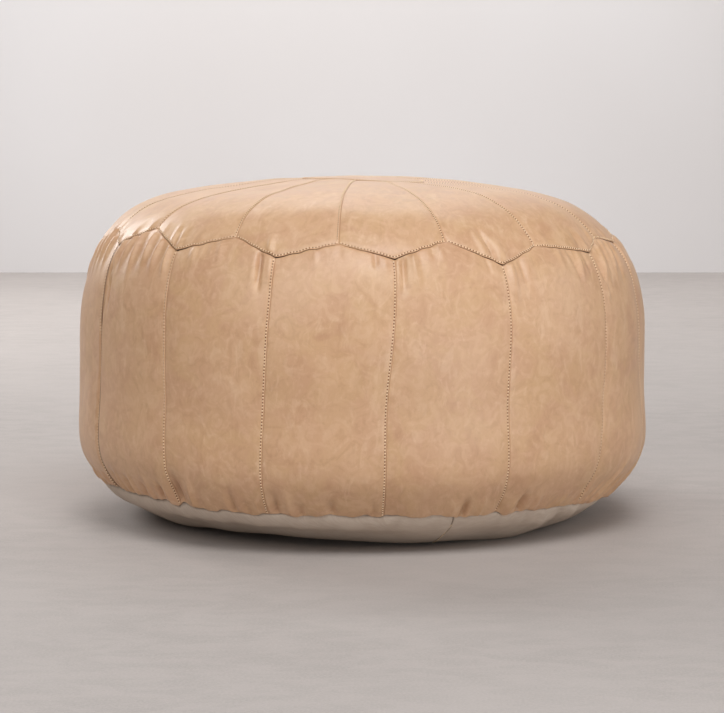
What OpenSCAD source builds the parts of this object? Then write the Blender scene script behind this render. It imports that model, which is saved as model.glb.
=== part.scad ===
// Round leather floor pouf: a sewn cover of kite-shaped crown panels and upright side panels over a
// stuffed inner bag, closed underneath by two canvas halves with a zip between them.
// Millimetres, +Z up. The origin is the centre of the face that rests on the floor, and -Y is the front.

/* [Overall size] */
// Widest diameter of the pouf
pouf_d = 600; // [480:10:700]
// Height from the floor to the middle of the crown
pouf_h = 358; // [300:2:420]

/* [Leather cover] */
// Number of crown panels, and of side panels
panels = 16; // [12:4:16]
// Turn of the first side seam to the right of the front
front_turn = 6; // [0:1:22]
// Thickness of the leather
leather_t = 1.4; // [1.2:0.1:1.6]
// Radius of the round medallion in the middle of the crown
medallion_r = 65; // [45:1:80]
// Radius of the zigzag seam where it points to the middle, over the radius of the pouf
peak_share = 0.887; // [0.86:0.001:0.89]
// Radius of the zigzag seam where it points outwards, over the radius of the pouf
valley_share = 0.927; // [0.91:0.001:0.93]
// Height of the hem, where leather meets canvas, over the height of the pouf
hem_share = 0.104; // [0.1:0.001:0.13]
// Width of a seam allowance folded under the neighbouring panel
allowance = 8; // [6:0.5:10]

/* [Canvas base] */
// Thickness of the canvas
canvas_t = 1; // [0.8:0.1:1.2]
// Turn of the base seam and its zip to the right of the front
base_turn = 18.5; // [0:0.5:45]

/* [Zip] */
// Length of the zip tapes
zip_l = 310; // [250:10:320]
// Spacing of the teeth on one tape
tooth_pitch = 5; // [4.5:0.5:6]
// Height of the recess that keeps the zip off the floor
recess_h = 8; // [7.6:0.1:8.4]

/* [Inner bag] */
// Depth of the inner bag below the outer face of the cover
bag_depth = 3.4; // [3.2:0.1:5]
// Thickness of the inner bag's cloth
bag_t = 0.8; // [0.6:0.1:1]

/* [Hidden] */
$fn = 48;
radius = pouf_d / 2;
pitch = 360 / panels;
seam_gap = 0.12;        // half of the clearance between two panels' edges
layer_gap = 0.1;        // clearance between two layers of a lapped seam
peak_r = peak_share * radius;
valley_r = valley_share * radius;
hem_z = hem_share * pouf_h;
zig_allowance = 5;      // seam allowance of the zigzag seam, seen from above
rib_w = 1.5;            // strip along a seam where the leather turns under
under = leather_t + layer_gap;          // depth of the folded-under layer's outer face
under_end = under + leather_t;          // depth of its inner face
thread_w = 0.7;
thread_proud = 0.45;
stitch_inset = 2.2;     // distance of a stitch row from its seam
crown_z = 0.5 * pouf_h;                 // cutters for the crown start at this height
cutter_h = pouf_h;

// Outline knots from the middle of the crown to the floor: share of radius, share of height, heading.
KNOTS = [
    [0, 1, 0], [0.5, 0.979, -7], [0.773, 0.922, -26], [0.927, 0.799, -62], [0.99, 0.623, -82],
    [1, 0.419, -90], [0.998, 0.243, -93], [0.93, 0.106, -128], [0.857, 0.057, -152], [0.69, 0, -180]
];
steps = 6;              // outline points in each stretch between two knots
last = (len(KNOTS) - 1) * steps;
shoulder_i = 2 * steps; // first outline point that a side panel needs
valley_i = 4 * steps;   // last outline point that a crown panel needs
hem_i = 7 * steps;      // the outline point at the hem

// The zip's own frame has +X along the teeth towards the closed end, and z = 0 on the floor.
zip_z = recess_h + 2.5; // mid-plane of the tapes
tape_t = 0.6;
tape_in = 2;            // distance of a tape's inner edge from the middle
tape_out = 16;
slot_w = 6;             // half of the gap between the canvas folds
fold_w = 7;             // width of the canvas fold along the zip
tooth_t = 1.9;
tooth_half_h = 1.3;
tooth_in = -0.7;        // a tooth's head reaches just past the middle
tooth_out = 3.6;
stop_x = zip_l / 2 - 8;
slider_l = 12;
slider_x = stop_x - 9;  // middle of the slider when the zip is closed
last_tooth_x = slider_x + 0.5;
first_tooth_x = -stop_x + 5;
tooth_count = floor((last_tooth_x - first_tooth_x) / tooth_pitch);
plate_t = 1.2;
plate_gap = 2.2;        // from the tapes' mid-plane to a slider plate
pin_r = 0.7;
pin_z = zip_z - plate_gap - plate_t - 1.9;
eye_r = 1.5;
eye_bore_r = 0.78;
eye_w = 3;
pull_l = 26;
recess_half_w = 16;     // half width of the recess at its flat top
recess_half_l = zip_l / 2 + 10;
recess_slope = 21.8;    // angle of its sides
bag_recess_grow = 7;    // the inner bag stands this far off the recess
// How far inside the recess slope the flat top's corner moves when the recess grows by one.
recess_corner = tan(recess_slope / 2);

function pad2(k) = k < 10 ? str("0", k) : str(k);
function panel_names(stem) = [for (k = [1:panels]) str(stem, pad2(k))];

// ---- Outline ----

function blend(u, a, ta, b, tb) =
    (2 * u ^ 3 - 3 * u ^ 2 + 1) * a + (u ^ 3 - 2 * u ^ 2 + u) * ta
    + (3 * u ^ 2 - 2 * u ^ 3) * b + (u ^ 3 - u ^ 2) * tb;

function blend_rate(u, a, ta, b, tb) =
    (6 * u ^ 2 - 6 * u) * (a - b) + (3 * u ^ 2 - 4 * u + 1) * ta + (3 * u ^ 2 - 2 * u) * tb;

function knot(i) = [KNOTS[i][0] * radius, KNOTS[i][1] * pouf_h];

// Outline point i at a depth below the cover's outer face.
function outline(i, depth) = let (
    s = min(floor(i / steps), len(KNOTS) - 2),
    u = i / steps - s,
    a = knot(s),
    b = knot(s + 1),
    l = norm(b - a),
    ta = l * [cos(KNOTS[s][2]), sin(KNOTS[s][2])],
    tb = l * [cos(KNOTS[s + 1][2]), sin(KNOTS[s + 1][2])],
    p = blend(u, a, ta, b, tb),
    d = blend_rate(u, a, ta, b, tb),
    n = [-d[1], d[0]] / norm(d)
) p - depth * n;

// Cross-section of a layer between two depths, from outline point i0 to i1.
function layer(i0, i1, outer, inner) = concat(
    [for (i = [i0:i1]) outline(i, outer)],
    [for (i = [i1:-1:i0]) outline(i, inner)]
);

// Cross-section of everything at or below a depth.
function filled(depth) = concat(
    [for (i = [0:last]) outline(i, depth)], [[0, depth]]
);

module revolve(points) { rotate_extrude() polygon(points); }

module sector(points, from, to) {
    rotate([0, 0, from]) rotate_extrude(angle = to - from) polygon(points);
}

function seam_angle(k) = -90 + front_turn + (k - 1) * pitch;

// ---- Zigzag seam, seen from above ----

// Shift of a corner along its radius that moves both of the zigzag's edges inwards by one.
valley_shift = 1 / sin(atan2(peak_r * sin(pitch / 2), valley_r - peak_r * cos(pitch / 2)));
peak_shift = 1 / sin(atan2(valley_r * sin(pitch / 2), valley_r * cos(pitch / 2) - peak_r));

function zigzag(inset) = [
    for (i = [0:2 * panels - 1])
        let (r = i % 2 == 0 ? valley_r - inset * valley_shift : peak_r - inset * peak_shift)
        r * [cos(seam_angle(1 + i / 2)), sin(seam_angle(1 + i / 2))]
];

module zigzag_prism(inset) {
    translate([0, 0, crown_z]) linear_extrude(height = cutter_h) polygon(zigzag(inset));
}

module zigzag_band(outside, inside) {
    difference() {
        zigzag_prism(outside);
        translate([0, 0, -1]) linear_extrude(height = 2 * cutter_h) polygon(zigzag(inside));
    }
}

module post(r) { cylinder(r = r, h = 2 * cutter_h); }

module below(z) { translate([-pouf_d, -pouf_d, z - 2 * cutter_h]) cube([2 * pouf_d, 2 * pouf_d, 2 * cutter_h]); }

module above(z) { translate([-pouf_d, -pouf_d, z]) cube([2 * pouf_d, 2 * pouf_d, 2 * cutter_h]); }

// ---- Leather cover ----

module crown_medallion() {
    color("burlywood") intersection() {
        revolve(layer(0, steps + 2, 0, leather_t));
        post(medallion_r - seam_gap);
    }
}

// Crown panel k runs between two peaks of the zigzag, with a valley in its middle. Its edge on the
// medallion and its left edge are folded under their neighbours.
module crown_panel(k) {
    a = seam_angle(k) - pitch / 2;
    b = a + pitch;
    side_gap = 0.03;
    fold = 2.2;
    color("burlywood") union() {
        intersection() {
            difference() {
                sector(layer(0, valley_i, 0, leather_t), a + side_gap, b - side_gap);
                post(medallion_r + seam_gap);
            }
            zigzag_prism(seam_gap);
        }
        difference() {
            sector(layer(0, 2 * steps, leather_t / 2, under_end - 0.3), a + side_gap, b - side_gap);
            post(medallion_r + seam_gap);
            difference() {
                post(radius);
                post(medallion_r + rib_w);
            }
        }
        difference() {
            sector(layer(0, 2 * steps, under, under_end), a + side_gap, b - side_gap);
            post(medallion_r - allowance);
            difference() {
                post(radius);
                post(medallion_r + rib_w + 0.4);
            }
        }
        intersection() {
            difference() {
                union() {
                    sector(layer(0, valley_i, leather_t / 2, under_end - 0.3), a + side_gap, a + 0.4);
                    sector(layer(0, valley_i, under, under_end), a - fold, a + 0.4 + side_gap);
                }
                post(medallion_r + 4);
            }
            zigzag_prism(zig_allowance + 1);
        }
    }
}

// Side panel k stands between two valleys of the zigzag, with a peak at its top. Its top edge is
// folded under the crown and its left edge under its neighbour.
module side_panel(k) {
    a = seam_angle(k);
    b = a + pitch;
    side_gap = 0.03;
    fold = allowance / radius * 180 / PI;
    rib = rib_w / radius * 180 / PI;
    color("tan") union() {
        difference() {
            sector(layer(shoulder_i, hem_i + 3, 0, leather_t), a + side_gap, b - side_gap);
            zigzag_prism(-seam_gap);
            below(hem_z + seam_gap);
        }
        intersection() {
            sector(layer(shoulder_i, valley_i, leather_t / 2, under_end - 0.3), a + side_gap, b - side_gap);
            zigzag_band(-rib_w, -seam_gap);
        }
        intersection() {
            sector(layer(steps, valley_i, under, under_end), a + side_gap, b - side_gap);
            zigzag_band(-rib_w - 0.4, zig_allowance);
        }
        difference() {
            union() {
                sector(layer(shoulder_i, hem_i, leather_t / 2, under_end - 0.3), a + side_gap, a + rib);
                sector(layer(shoulder_i, hem_i, under, under_end), a - fold, a + rib + side_gap);
            }
            zigzag_prism(-rib_w - 1);
            below(hem_z + 14);
        }
    }
}

// ---- Canvas base ----

// Trapezium of the zip's recess, grown outwards on every side, as half width by height.
function recess_outline(half, grow) = let (
    top = half + grow * recess_corner,
    z = recess_h + grow,
    foot = top + (z + 5) / tan(recess_slope)
) [[-foot, -5], [foot, -5], [top, z], [-top, z]];

module recess(grow) {
    intersection() {
        rotate([90, 0, 0]) translate([0, 0, -pouf_d / 2])
            linear_extrude(height = pouf_d) polygon(recess_outline(recess_half_l, grow));
        rotate([90, 0, 90]) translate([0, 0, -pouf_d / 2])
            linear_extrude(height = pouf_d) polygon(recess_outline(recess_half_w, grow));
    }
}

module in_zip_frame() { rotate([0, 0, base_turn - 90]) children(); }

module base_shell(from, to) {
    difference() {
        revolve(filled(from));
        in_zip_frame() recess(from);
        difference() {
            revolve(filled(to));
            in_zip_frame() recess(to);
        }
        above(hem_z - seam_gap);
    }
}

// One half of the base in the zip's frame, on the side where y has the given sign.
module half_space(sign, from, to) {
    y0 = sign > 0 ? from : -to;
    translate([-pouf_d, y0, -10]) cube([2 * pouf_d, to - from, 200]);
}

module zip_slot() {
    translate([-recess_half_l, -slot_w, -10]) cube([2 * recess_half_l, 2 * slot_w, 40]);
}

module base_half(sign) {
    hem_fold = leather_t + layer_gap;
    color("antiquewhite") union() {
        intersection() {
            base_shell(0, canvas_t);
            in_zip_frame() difference() {
                half_space(sign, seam_gap, pouf_d);
                zip_slot();
            }
        }
        // Hem: the canvas steps in under the leather and stands up inside it.
        intersection() {
            difference() {
                revolve(layer(hem_i - 4, hem_i + 3, hem_fold, hem_fold + canvas_t));
                below(hem_z - 3);
                above(hem_z + 9);
            }
            in_zip_frame() half_space(sign, seam_gap, pouf_d);
        }
        intersection() {
            difference() {
                revolve(layer(hem_i - 2, hem_i + 3, canvas_t / 2, hem_fold + canvas_t - 0.3));
                below(hem_z - 2.6);
                above(hem_z - seam_gap);
            }
            in_zip_frame() half_space(sign, seam_gap, pouf_d);
        }
        // Fold along the zip.
        in_zip_frame() translate([-recess_half_l + 2, sign > 0 ? slot_w : -slot_w - fold_w, recess_h + canvas_t / 2])
            cube([2 * recess_half_l - 4, fold_w, zip_z - tape_t / 2 - layer_gap - recess_h - canvas_t / 2]);
    }
}

// ---- Thread ----

// A row of stitches on the cover's face, left of the seam plane at this angle.
module stitch_plane(angle) {
    rotate([0, 0, angle]) translate([0, -stitch_inset - thread_w, 0])
        cube([pouf_d, thread_w, 2 * cutter_h]);
}

module thread_medallion() {
    color("linen") difference() {
        revolve(layer(1, steps, -thread_proud, -0.02));
        post(medallion_r - stitch_inset - thread_w);
        difference() {
            post(radius);
            post(medallion_r - stitch_inset);
        }
    }
}

module thread_crown_seams() {
    color("linen") for (k = [1:panels]) {
        a = seam_angle(k) - pitch / 2;
        intersection() {
            difference() {
                sector(layer(steps - 4, valley_i, -thread_proud, -0.02), a - 4, a);
                post(medallion_r + 2);
            }
            stitch_plane(a);
            zigzag_prism(4);
        }
    }
}

module thread_zigzag_seam() {
    color("linen") intersection() {
        revolve(layer(shoulder_i, valley_i, -thread_proud, -0.02));
        zigzag_band(1.6, 1.6 + thread_w);
    }
}

module thread_side_seams() {
    color("linen") for (k = [1:panels]) {
        a = seam_angle(k);
        difference() {
            intersection() {
                sector(layer(shoulder_i, hem_i, -thread_proud, -0.02), a - 2, a);
                stitch_plane(a);
            }
            zigzag_prism(-3);
            below(hem_z + 3);
        }
    }
}

module in_base_plane(s) {
    translate([s > 0 ? recess_half_l + 25 : -radius, -thread_w / 2, 0])
        cube([radius - recess_half_l - 25, thread_w, 60]);
}

// The plain seam of the base is stitched inside, between the zip's recess and the hem.
module thread_base_seam() {
    color("linen") in_zip_frame() for (s = [-1, 1])
        intersection() {
            in_base_plane(s);
            rotate([0, 0, 90 - base_turn])
                revolve(layer(hem_i + 3, last - 1, canvas_t + 0.02, canvas_t + thread_proud));
        }
}

module thread_zip() {
    color("linen") in_zip_frame() for (s = [-1, 1])
        translate([-zip_l / 2, s * (slot_w + 2) - thread_w / 2, recess_h - thread_proud])
            cube([zip_l, thread_w, thread_proud - 0.02]);
}

// ---- Inner bag and filling ----

module bag_body(depth, grow) {
    difference() {
        revolve(filled(depth));
        in_zip_frame() recess(grow);
    }
}

module bag_shell() {
    difference() {
        bag_body(bag_depth, bag_recess_grow);
        bag_body(bag_depth + bag_t, bag_recess_grow + bag_t);
    }
}

bag_top_z = 0.82 * pouf_h;
bag_low_z = 0.17 * pouf_h;

module inner_bag_top() { color("whitesmoke") intersection() { bag_shell(); above(bag_top_z + seam_gap); } }

module inner_bag_side() {
    color("whitesmoke") difference() {
        revolve(layer(shoulder_i, hem_i, bag_depth, bag_depth + bag_t));
        above(bag_top_z - seam_gap);
        below(bag_low_z + seam_gap);
    }
}

module inner_bag_bottom() { color("whitesmoke") intersection() { bag_shell(); below(bag_low_z - seam_gap); } }

module filling() {
    gap = bag_depth + bag_t + 0.2;
    color("white") bag_body(gap, bag_recess_grow + bag_t + 0.4);
}

// ---- Zip ----

module zip_tape(sign) {
    color("wheat") in_zip_frame()
        translate([-zip_l / 2, sign > 0 ? tape_in : -tape_out, zip_z - tape_t / 2])
            cube([zip_l, tape_out - tape_in, tape_t]);
}

// A tooth is a block clamped over the tape's inner edge.
module tooth(sign) {
    slot = tape_t / 2 + 0.05;
    profile = [
        [tooth_in, -tooth_half_h], [tooth_out, -tooth_half_h], [tooth_out, -slot], [tape_in - 0.1, -slot],
        [tape_in - 0.1, slot], [tooth_out, slot], [tooth_out, tooth_half_h], [tooth_in, tooth_half_h]
    ];
    translate([-tooth_t / 2, 0, zip_z]) rotate([90, 0, 90])
        linear_extrude(height = tooth_t) polygon([for (p = profile) [sign * p[0], p[1]]]);
}

module zip_teeth(sign) {
    offset_x = sign > 0 ? 0 : -tooth_pitch / 2;
    color("gold") in_zip_frame() for (i = [0:tooth_count - 1])
        translate([last_tooth_x - i * tooth_pitch + offset_x, 0, 0]) tooth(sign);
}

module stop_block(sign, w) {
    block_in = w;
    slot = tape_t / 2 + 0.05;
    translate([-1.5, 0, zip_z]) rotate([90, 0, 90]) linear_extrude(height = 3) polygon([
        for (p = [[block_in, -1.2], [4.2, -1.2], [4.2, -slot], [tape_in - 0.1, -slot],
                  [tape_in - 0.1, slot], [4.2, slot], [4.2, 1.2], [block_in, 1.2]])
            [sign * p[0], p[1]]
    ]);
}

module zip_top_stops() {
    color("gold") in_zip_frame() for (s = [-1, 1]) translate([stop_x, 0, 0]) stop_block(s, 1.2);
}

module zip_bottom_stop() {
    color("gold") in_zip_frame() translate([-stop_x, 0, 0]) for (s = [-1, 1]) stop_block(s, 0);
}

// Outline of a slider plate: wide over the wedge that parts the teeth, narrow behind it.
module slider_plate(z) {
    translate([slider_x, 0, z]) linear_extrude(height = plate_t) polygon([
        [-slider_l / 2, -3.9], [0, -4.4], [slider_l / 2 - 1, -4.4], [slider_l / 2, -3.4],
        [slider_l / 2, 3.4], [slider_l / 2 - 1, 4.4], [0, 4.4], [-slider_l / 2, 3.9]
    ]);
}

module slider_rails() {
    rail_h = plate_gap - tape_t / 2 - 0.35;
    for (s = [-1, 1], lower = [true, false])
        translate([slider_x - slider_l / 2 + 0.6, s > 0 ? 3.8 : -4.3,
                   lower ? zip_z - plate_gap - 0.1 : zip_z + plate_gap - rail_h])
            cube([slider_l - 1.8, 0.5, rail_h + 0.1]);
}

module zip_slider() {
    ear_t = 1;
    ear_bottom = pin_z - 1.1;
    color("goldenrod") in_zip_frame() union() {
        slider_plate(zip_z - plate_gap - plate_t);
        slider_plate(zip_z + plate_gap);
        slider_rails();
        // Wedge between the plates, at the front.
        translate([slider_x + slider_l / 2 - 3, -1.2, zip_z - plate_gap - 0.1])
            cube([2.4, 2.4, 2 * plate_gap + 0.2]);
        for (s = [-1, 1])
            translate([slider_x - 1.4, s > 0 ? eye_w / 2 + 0.15 : -eye_w / 2 - 0.15 - ear_t, ear_bottom])
                cube([2.8, ear_t, zip_z - plate_gap - plate_t - ear_bottom + 0.1]);
        translate([slider_x, 0, pin_z]) rotate([90, 0, 0])
            cylinder(r = pin_r, h = eye_w + 2 * ear_t, center = true);
    }
}

module zip_puller() {
    tab_w = 6;
    tab_t = 1.4;
    end_x = slider_x - pull_l;
    color("goldenrod") in_zip_frame() difference() {
        union() {
            translate([slider_x, 0, pin_z]) rotate([90, 0, 0]) cylinder(r = eye_r, h = eye_w, center = true);
            translate([slider_x - 6, -eye_w / 2, pin_z - tab_t / 2]) cube([6, eye_w, tab_t]);
            translate([end_x, -tab_w / 2, pin_z - tab_t / 2]) cube([pull_l - 5, tab_w, tab_t]);
            translate([end_x, 0, pin_z - tab_t / 2]) cylinder(r = tab_w / 2, h = tab_t);
        }
        translate([slider_x, 0, pin_z]) rotate([90, 0, 0]) cylinder(r = eye_bore_r, h = eye_w + 2, center = true);
        translate([end_x, 0, pin_z - tab_t]) cylinder(r = 1.3, h = 2 * tab_t);
    }
}

// ---- Assembly ----

crown_medallion();
for (k = [1:panels]) crown_panel(k);
for (k = [1:panels]) side_panel(k);
base_half(-1);  // base_half_left
base_half(1);  // base_half_right
thread_medallion();
thread_crown_seams();
thread_zigzag_seam();
thread_side_seams();
thread_base_seam();
thread_zip();
inner_bag_top();
inner_bag_side();
inner_bag_bottom();
filling();
zip_tape(-1);  // zip_tape_left
zip_tape(1);  // zip_tape_right
zip_teeth(-1);  // zip_teeth_left
zip_teeth(1);  // zip_teeth_right
zip_top_stops();
zip_bottom_stop();
zip_slider();
zip_puller();
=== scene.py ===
"""Looks for the round leather pouf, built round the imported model.

The cover is laid out on the pouf's outline: a place on it is a heading, measured from the front towards +X,
and a distance along the outline from the middle of the crown. Each panel is a grid on that chart, raised and
lowered by its seams, its pillow shape and the gathers beside its seams. All lengths are in metres.
"""

import math

import bpy
import numpy as np
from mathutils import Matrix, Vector


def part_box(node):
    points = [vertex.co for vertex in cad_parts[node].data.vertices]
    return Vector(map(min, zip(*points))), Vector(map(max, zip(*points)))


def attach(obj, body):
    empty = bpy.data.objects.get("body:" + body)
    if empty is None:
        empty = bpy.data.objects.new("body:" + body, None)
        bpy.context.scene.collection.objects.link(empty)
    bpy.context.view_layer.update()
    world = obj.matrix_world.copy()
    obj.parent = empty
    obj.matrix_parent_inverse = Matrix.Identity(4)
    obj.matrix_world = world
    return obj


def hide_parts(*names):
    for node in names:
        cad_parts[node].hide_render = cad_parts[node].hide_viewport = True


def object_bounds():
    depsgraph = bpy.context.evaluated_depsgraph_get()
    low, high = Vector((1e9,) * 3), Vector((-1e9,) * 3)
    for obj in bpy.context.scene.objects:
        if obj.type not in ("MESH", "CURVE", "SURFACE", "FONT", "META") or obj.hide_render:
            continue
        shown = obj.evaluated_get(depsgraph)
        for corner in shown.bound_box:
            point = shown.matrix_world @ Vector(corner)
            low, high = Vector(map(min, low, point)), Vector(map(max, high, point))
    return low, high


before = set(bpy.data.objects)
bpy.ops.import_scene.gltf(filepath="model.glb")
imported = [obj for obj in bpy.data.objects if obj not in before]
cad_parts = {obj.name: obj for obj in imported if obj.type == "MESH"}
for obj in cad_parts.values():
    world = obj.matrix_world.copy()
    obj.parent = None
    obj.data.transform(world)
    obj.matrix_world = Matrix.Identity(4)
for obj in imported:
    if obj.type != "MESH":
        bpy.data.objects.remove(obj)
cad_low, cad_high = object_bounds()

# ---- Sizes, from the frame ----

TINY = 1e-12
MM = 0.001
RADIUS = round((cad_high.x - cad_low.x) / 2, 3)
HEIGHT = round(cad_high.z, 3)
PANELS = sum(name.startswith("side_panel_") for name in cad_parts)
PITCH = 2 * math.pi / PANELS
FIRST_SEAM = math.radians(6)
BASE_TURN = math.radians(18.5)
MEDALLION_R = round((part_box("crown_medallion")[1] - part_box("crown_medallion")[0]).x / 2, 3)
HEM_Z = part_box("side_panel_01")[0].z
RECESS_H = 0.008
RECESS_HALF_W = 0.016
RECESS_HALF_L = 0.165
RECESS_RISE = math.tan(math.radians(21.8))
SLOT_W = 0.006

LEATHER_T = 0.0014
CANVAS_T = 0.001
STITCH_PITCH = 0.0031
STITCH_INSET = 0.0016
THREAD_R = 0.0008

# Outline from the middle of the crown to the floor: share of radius, share of height, heading in degrees.
KNOTS = [
    (0, 1, 0), (0.5, 0.979, -7), (0.773, 0.922, -26), (0.927, 0.799, -62), (0.99, 0.623, -82),
    (1, 0.419, -90), (0.998, 0.243, -93), (0.93, 0.106, -128), (0.857, 0.057, -152), (0.69, 0, -180),
]


def hermite(start, end, steps):
    """Points on one stretch of the outline between two knots."""
    a = np.array([start[0] * RADIUS, start[1] * HEIGHT])
    b = np.array([end[0] * RADIUS, end[1] * HEIGHT])
    length = np.linalg.norm(b - a)
    ta, tb = (length * np.array([math.cos(h), math.sin(h)]) for h in map(math.radians, (start[2], end[2])))
    u = np.arange(steps)[:, None] / steps
    return ((2 * u**3 - 3 * u**2 + 1) * a + (u**3 - 2 * u**2 + u) * ta
            + (3 * u**2 - 2 * u**3) * b + (u**3 - u**2) * tb)


outline = np.concatenate(
    [hermite(a, b, 80) for a, b in zip(KNOTS, KNOTS[1:])]
    + [np.array([[KNOTS[-1][0] * RADIUS, 0.0], [0.0, 0.0]])]
)
ARC = np.concatenate([[0], np.cumsum(np.linalg.norm(np.diff(outline, axis=0), axis=1))])
OUT_R, OUT_Z = outline[:, 0], outline[:, 1]
_along = np.gradient(outline, ARC, axis=0)
_along /= np.linalg.norm(_along, axis=1)[:, None]
OUT_NR, OUT_NZ = -_along[:, 1], _along[:, 0]
WIDEST = int(np.argmax(OUT_R))


def crown_arc(r):
    """Distance along the outline at which the crown has radius r."""
    return np.interp(r, OUT_R[:WIDEST], ARC[:WIDEST])


ARC_HEM = float(np.interp(-HEM_Z, -OUT_Z[:-1], ARC[:-1]))
ARC_MEDALLION = float(crown_arc(MEDALLION_R))
PEAK_ARC = float(crown_arc(0.887 * RADIUS))
VALLEY_ARC = float(crown_arc(0.927 * RADIUS))


def radius_at(arc):
    return np.interp(arc, ARC, OUT_R)


def smooth(low, high, x):
    t = np.clip((x - low) / (high - low), 0, 1)
    return t * t * (3 - 2 * t)


LEAN = 0.0042


def lean(arc):
    """How far right the cover sits: its shoulder has settled a little to the left of the base."""
    z = np.interp(arc, ARC, OUT_Z)
    high = smooth(0.5 * HEIGHT, 0.95 * HEIGHT, z)
    return -LEAN * high * smooth(0.1 * RADIUS, 0.8 * RADIUS, radius_at(arc))


def on_cover(heading, arc, out=0.0):
    """Points on the outline turned to a heading, moved outwards."""
    r = radius_at(arc) + out * np.interp(arc, ARC, OUT_NR)
    z = np.interp(arc, ARC, OUT_Z) + out * np.interp(arc, ARC, OUT_NZ)
    return np.stack([r * np.sin(heading) + lean(arc), -r * np.cos(heading), z], axis=-1)


def upright(heading, arc):
    """Turns a heading as it looks from the front into a heading on the cover, which leans there."""
    side = np.cos(heading)
    return heading - lean(arc) / (0.9 * RADIUS) * side / (side**2 + 0.05)


# ---- Seams ----

def per_seam(spread, seed, known):
    """A small offset for each seam: some listed, the rest drawn from a seeded spread."""
    found = np.random.default_rng(seed).normal(0, spread, PANELS)
    for number, value in known.items():
        found[number % PANELS] = value
    return found


number = np.arange(PANELS)
SEAM_MID = FIRST_SEAM + PITCH * number + np.radians(
    per_seam(0.7, 11, {-3: -0.6, -2: -0.8, -1: -1.7, 0: -1.7, 1: -1.2, 2: 1.7}))
SEAM_LOW = SEAM_MID + np.radians(per_seam(1, 16, {-3: 0, -2: 0.2, -1: -0.6, 0: -0.2, 1: 0.5, 2: -2.2}))
SEAM_TOP = upright(FIRST_SEAM + PITCH * number + np.radians(
    per_seam(0.9, 12, {-3: -3.2, -2: -2.4, -1: -1.3, 0: 0.3, 1: 0.7, 2: 4.6})), VALLEY_ARC)
PEAK = upright(FIRST_SEAM + PITCH * (number + 0.5) + np.radians(
    per_seam(0.6, 13, {-4: 0.3, -3: -1.3, -2: 0, -1: 0.3, 0: 0.5, 1: -0.7, 2: 0.2})), PEAK_ARC)
VALLEY_DROP = MM * per_seam(3, 14, {-3: -8, -2: -7, -1: -4, 0: -3, 1: 5, 2: -2})
PEAK_DROP = MM * per_seam(3, 15, {-4: -7, -3: -10, -2: -5, -1: 2, 0: -3, 1: 7, 2: 3})


def waves(seed, count, size):
    """A smooth random field in one turn round the pouf, with features about this many degrees apart."""
    rng = np.random.default_rng(seed)
    cycles = np.maximum(1, np.round(360 / size * rng.uniform(0.5, 1.4, count)))
    phase = rng.uniform(0, 2 * np.pi, count)
    return lambda heading: np.cos(heading[..., None] * cycles + phase).sum(-1) * math.sqrt(2 / count)


def field(seed, count, size):
    """A smooth random field in space, with features of about this size."""
    rng = np.random.default_rng(seed)
    way = rng.normal(size=(count, 3))
    way *= (2 * np.pi / size * rng.uniform(0.6, 1.5, count) / np.linalg.norm(way, axis=1))[:, None]
    phase = rng.uniform(0, 2 * np.pi, count)
    return lambda place: np.cos(place @ way.T + phase).sum(-1) * math.sqrt(2 / count)


zigzag_wobble = waves(21, 9, 4)
hem_wobble = waves(22, 9, 6)
hem_ripple = waves(23, 7, 2.4)


def zigzag_arc(heading):
    """Distance along the outline at which the zigzag seam crosses a heading."""
    corners = np.stack([SEAM_TOP, PEAK], axis=1).ravel()
    arcs = np.stack([VALLEY_ARC + VALLEY_DROP, PEAK_ARC + PEAK_DROP], axis=1).ravel()
    turn = 2 * np.pi
    corners = np.concatenate([corners[-2:] - turn, corners, corners[:2] + turn])
    arcs = np.concatenate([arcs[-2:], arcs, arcs[:2]])
    around = (heading - corners[1]) % turn + corners[1]
    return np.interp(around, corners, arcs) + 0.0003 * zigzag_wobble(heading)


HEM_UP = 0.001  # how far above the panels' foot the hem lies
HEM_SLOPE = 0.007
HEM_SAG, SAG_HEADING, SAG_SPREAD = 0.012, 1.25, 0.04


def hem_arc(heading):
    """Distance along the outline of the hem, which sags most at the front right."""
    sag = HEM_SAG * np.exp((np.cos(heading - SAG_HEADING) - 1) / SAG_SPREAD)
    return (ARC_HEM - HEM_UP + HEM_SLOPE * np.sin(heading) + sag + 0.0013 * hem_wobble(heading)
            + 0.0004 * hem_ripple(heading))


def seam_heading(k, arc):
    """Heading of side seam k, which leans near its top and its foot."""
    along = (arc - VALLEY_ARC) / (ARC_HEM - VALLEY_ARC)
    turns, k = np.divmod(k, PANELS)
    return (SEAM_MID[k] + (SEAM_TOP[k] - SEAM_MID[k]) * smooth(0.62, 0, along)
            + (SEAM_LOW[k] - SEAM_MID[k]) * smooth(0.4, 1, along) + 2 * np.pi * turns)


def peak_heading(k, arc):
    """Heading of the crown seam that ends at peak k; it straightens towards the medallion."""
    share = smooth(ARC_MEDALLION, PEAK_ARC, arc)
    turns, k = np.divmod(k, PANELS)
    even = FIRST_SEAM + PITCH * (k + 0.5)
    return even + (PEAK[k] - even) * share + 2 * np.pi * turns


# ---- Gathers and folds ----

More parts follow.
